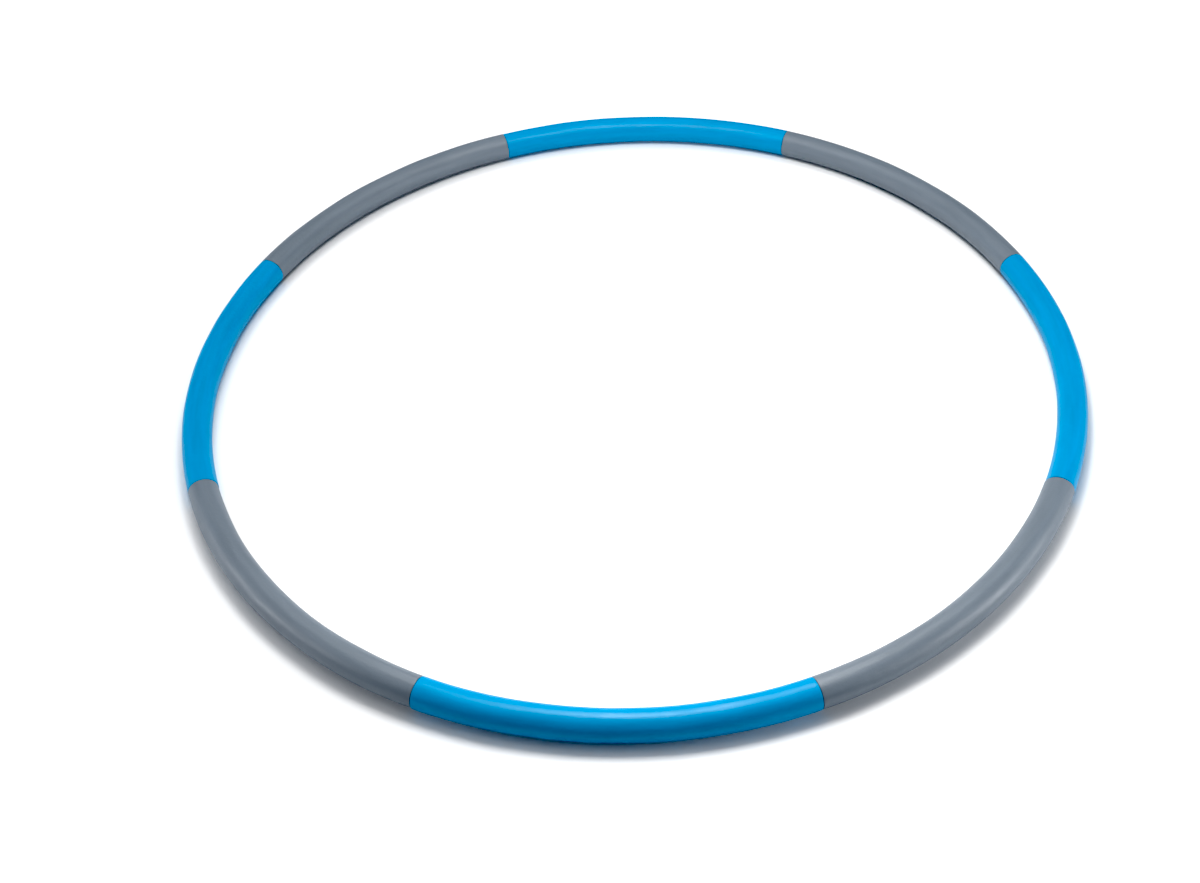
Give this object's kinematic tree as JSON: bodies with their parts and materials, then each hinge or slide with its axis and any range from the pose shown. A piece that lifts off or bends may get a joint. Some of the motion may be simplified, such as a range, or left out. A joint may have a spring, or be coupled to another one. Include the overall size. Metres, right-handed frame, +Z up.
{
  "type": "exercise hoop",
  "caption": "Take-apart exercise hoop of curved foam-sleeved steel tube sections that plug together end to end and lock with sprung buttons.",
  "frame": {"origin": "centre of the hoop, on the flat surface that it lies on", "axes": "+Z up along the hoop's axis of symmetry; section_1 starts on +X and the sections follow anticlockwise seen from above"},
  "size_m": [1, 1, 0.032],
  "materials": {
    "foam_blue": "satin closed-cell foam, blue",
    "foam_grey": "satin closed-cell foam, blue-grey",
    "core_steel": "bright drawn steel tube",
    "plug_nylon": "black moulded nylon",
    "spring_steel": "satin spring steel"
  },
  "bodies": {
    "section_1": {"foam_sleeve_1": "foam_blue", "core_tube_1": "core_steel", "connector_plug_1": "plug_nylon", "retaining_pin_1": "spring_steel"},
    "section_2": {"foam_sleeve_2": "foam_grey", "core_tube_2": "core_steel", "connector_plug_2": "plug_nylon", "retaining_pin_2": "spring_steel"},
    "section_3": {"foam_sleeve_3": "foam_blue", "core_tube_3": "core_steel", "connector_plug_3": "plug_nylon", "retaining_pin_3": "spring_steel"},
    "section_4": {"foam_sleeve_4": "foam_grey", "core_tube_4": "core_steel", "connector_plug_4": "plug_nylon", "retaining_pin_4": "spring_steel"},
    "section_5": {"foam_sleeve_5": "foam_blue", "core_tube_5": "core_steel", "connector_plug_5": "plug_nylon", "retaining_pin_5": "spring_steel"},
    "section_6": {"foam_sleeve_6": "foam_grey", "core_tube_6": "core_steel", "connector_plug_6": "plug_nylon", "retaining_pin_6": "spring_steel"},
    "section_7": {"foam_sleeve_7": "foam_blue", "core_tube_7": "core_steel", "connector_plug_7": "plug_nylon", "retaining_pin_7": "spring_steel"},
    "section_8": {"foam_sleeve_8": "foam_grey", "core_tube_8": "core_steel", "connector_plug_8": "plug_nylon", "retaining_pin_8": "spring_steel"},
    "button_1": {"snap_clip_1": "spring_steel"},
    "button_2": {"snap_clip_2": "spring_steel"},
    "button_3": {"snap_clip_3": "spring_steel"},
    "button_4": {"snap_clip_4": "spring_steel"},
    "button_5": {"snap_clip_5": "spring_steel"},
    "button_6": {"snap_clip_6": "spring_steel"},
    "button_7": {"snap_clip_7": "spring_steel"},
    "button_8": {"snap_clip_8": "spring_steel"}
  },
  "joints": [
    {"name": "seam_1_pull", "type": "slide", "parent": "section_1", "child": "section_2", "axis": [-0.7071, 0.7071, 0], "range_m": [0, 0.04]},
    {"name": "seam_2_pull", "type": "slide", "parent": "section_2", "child": "section_3", "axis": [-1, 0, 0], "range_m": [0, 0.04]},
    {"name": "seam_3_pull", "type": "slide", "parent": "section_3", "child": "section_4", "axis": [-0.7071, -0.7071, 0], "range_m": [0, 0.04]},
    {"name": "seam_4_pull", "type": "slide", "parent": "section_4", "child": "section_5", "axis": [0, -1, 0], "range_m": [0, 0.04]},
    {"name": "seam_5_pull", "type": "slide", "parent": "section_5", "child": "section_6", "axis": [0.7071, -0.7071, 0], "range_m": [0, 0.04]},
    {"name": "seam_6_pull", "type": "slide", "parent": "section_6", "child": "section_7", "axis": [1, 0, 0], "range_m": [0, 0.04]},
    {"name": "seam_7_pull", "type": "slide", "parent": "section_7", "child": "section_8", "axis": [0.7071, 0.7071, 0], "range_m": [0, 0.04]},
    {"name": "button_1_press", "type": "slide", "parent": "section_1", "child": "button_1", "axis": [-0.7071, -0.7071, 0], "range_m": [0, 0.003], "stiffness_N_per_m": 2500, "springref_m": -0.001, "deforming": ["snap_clip_1"]},
    {"name": "button_2_press", "type": "slide", "parent": "section_2", "child": "button_2", "axis": [0, -1, 0], "range_m": [0, 0.003], "stiffness_N_per_m": 2500, "springref_m": -0.001, "deforming": ["snap_clip_2"]},
    {"name": "button_3_press", "type": "slide", "parent": "section_3", "child": "button_3", "axis": [0.7071, -0.7071, 0], "range_m": [0, 0.003], "stiffness_N_per_m": 2500, "springref_m": -0.001, "deforming": ["snap_clip_3"]},
    {"name": "button_4_press", "type": "slide", "parent": "section_4", "child": "button_4", "axis": [1, 0, 0], "range_m": [0, 0.003], "stiffness_N_per_m": 2500, "springref_m": -0.001, "deforming": ["snap_clip_4"]},
    {"name": "button_5_press", "type": "slide", "parent": "section_5", "child": "button_5", "axis": [0.7071, 0.7071, 0], "range_m": [0, 0.003], "stiffness_N_per_m": 2500, "springref_m": -0.001, "deforming": ["snap_clip_5"]},
    {"name": "button_6_press", "type": "slide", "parent": "section_6", "child": "button_6", "axis": [0, 1, 0], "range_m": [0, 0.003], "stiffness_N_per_m": 2500, "springref_m": -0.001, "deforming": ["snap_clip_6"]},
    {"name": "button_7_press", "type": "slide", "parent": "section_7", "child": "button_7", "axis": [-0.7071, 0.7071, 0], "range_m": [0, 0.003], "stiffness_N_per_m": 2500, "springref_m": -0.001, "deforming": ["snap_clip_7"]},
    {"name": "button_8_press", "type": "slide", "parent": "section_8", "child": "button_8", "axis": [-1, 0, 0], "range_m": [0, 0.003], "stiffness_N_per_m": 2500, "springref_m": -0.001, "deforming": ["snap_clip_8"]}
  ],
  "couplings": [
    {"joint": "seam_5_pull", "follows": "seam_1_pull", "ratio": 1},
    {"joint": "seam_6_pull", "follows": "seam_2_pull", "ratio": 1},
    {"joint": "seam_7_pull", "follows": "seam_3_pull", "ratio": 1}
  ]
}
